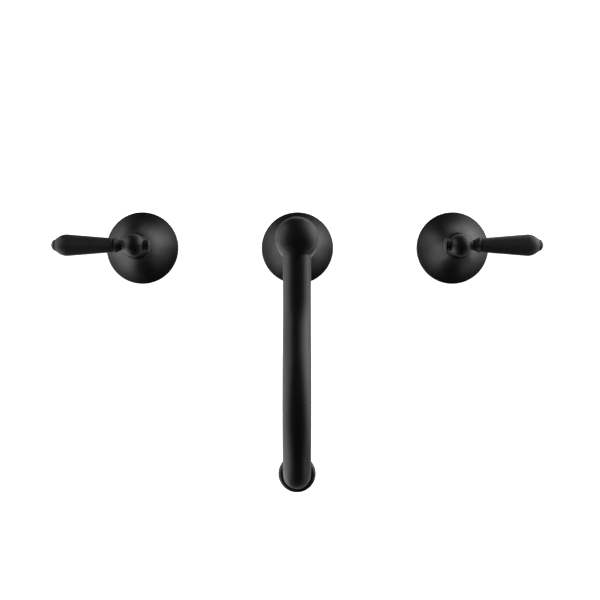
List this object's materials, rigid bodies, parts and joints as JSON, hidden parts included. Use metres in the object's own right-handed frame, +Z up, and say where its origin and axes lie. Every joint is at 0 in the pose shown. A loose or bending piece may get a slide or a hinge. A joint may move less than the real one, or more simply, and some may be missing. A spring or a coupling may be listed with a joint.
{
  "type": "deck mounted bath faucet",
  "caption": "Widespread deck mounted bath faucet with a tall column spout and lever handles on bell shaped flanges, satin black.",
  "frame": {"origin": "on the deck's top face, on the axis of the spout's column", "axes": "+Z up from the deck; the spout reaches towards -Y; the left (hot) lever is on -X and the right (cold) lever on +X"},
  "size_m": [0.3826, 0.2089, 0.2567],
  "materials": {
    "black_coat": "satin black coating over brass",
    "grip_black": "smooth matte black grip",
    "raw_brass": "bare cast and turned brass",
    "copper": "bare copper tube",
    "steel": "plain stainless steel",
    "rubber": "black rubber",
    "ceramic": "polished white ceramic",
    "aerator_plastic": "dark grey moulded plastic"
  },
  "bodies": {
    "faucet_body": {"spout_flange": "black_coat", "spout_gasket": "rubber", "spout_shank": "raw_brass", "spout_o_ring": "rubber", "spout_column": "black_coat", "spout_set_screw": "steel", "spout_cap": "black_coat", "spout_tube": "black_coat", "outlet_collar": "black_coat", "aerator_seal": "rubber", "aerator_housing": "black_coat", "aerator_insert": "aerator_plastic", "spout_tee": "raw_brass", "left_crossover_pipe": "copper", "right_crossover_pipe": "copper", "compression_nuts": "raw_brass", "compression_olives": "raw_brass", "deck_rubber_washers": "rubber", "deck_steel_washers": "steel", "deck_nuts": "raw_brass", "left_flange": "black_coat", "left_gasket": "rubber", "left_valve_body": "raw_brass", "left_seat_seal": "rubber", "left_fixed_disc": "ceramic", "left_cartridge_housing": "raw_brass", "left_bonnet_sleeve": "raw_brass", "left_stem_seal": "rubber", "right_flange": "black_coat", "right_gasket": "rubber", "right_valve_body": "raw_brass", "right_seat_seal": "rubber", "right_fixed_disc": "ceramic", "right_cartridge_housing": "raw_brass", "right_bonnet_sleeve": "raw_brass", "right_stem_seal": "rubber"},
    "left_handle": {"left_moving_disc": "ceramic", "left_stem": "raw_brass", "left_hub": "black_coat", "left_set_screw": "steel", "left_lever_rod": "steel", "left_lever_cup": "black_coat", "left_ferrule_ring": "black_coat", "left_grip": "grip_black", "left_tip_button": "black_coat", "left_finial_neck": "black_coat", "left_finial_cap": "black_coat"},
    "right_handle": {"right_moving_disc": "ceramic", "right_stem": "raw_brass", "right_hub": "black_coat", "right_set_screw": "steel", "right_lever_rod": "steel", "right_lever_cup": "black_coat", "right_ferrule_ring": "black_coat", "right_grip": "grip_black", "right_tip_button": "black_coat", "right_finial_neck": "black_coat", "right_finial_cap": "black_coat"}
  },
  "joints": [
    {"name": "left_handle_turn", "type": "hinge", "parent": "faucet_body", "child": "left_handle", "pos_m": [-0.127, 0, 0.044], "axis": [0, 0, 1], "range_deg": [0, 90]},
    {"name": "right_handle_turn", "type": "hinge", "parent": "faucet_body", "child": "right_handle", "pos_m": [0.127, 0, 0.044], "axis": [0, 0, -1], "range_deg": [0, 90]}
  ]
}
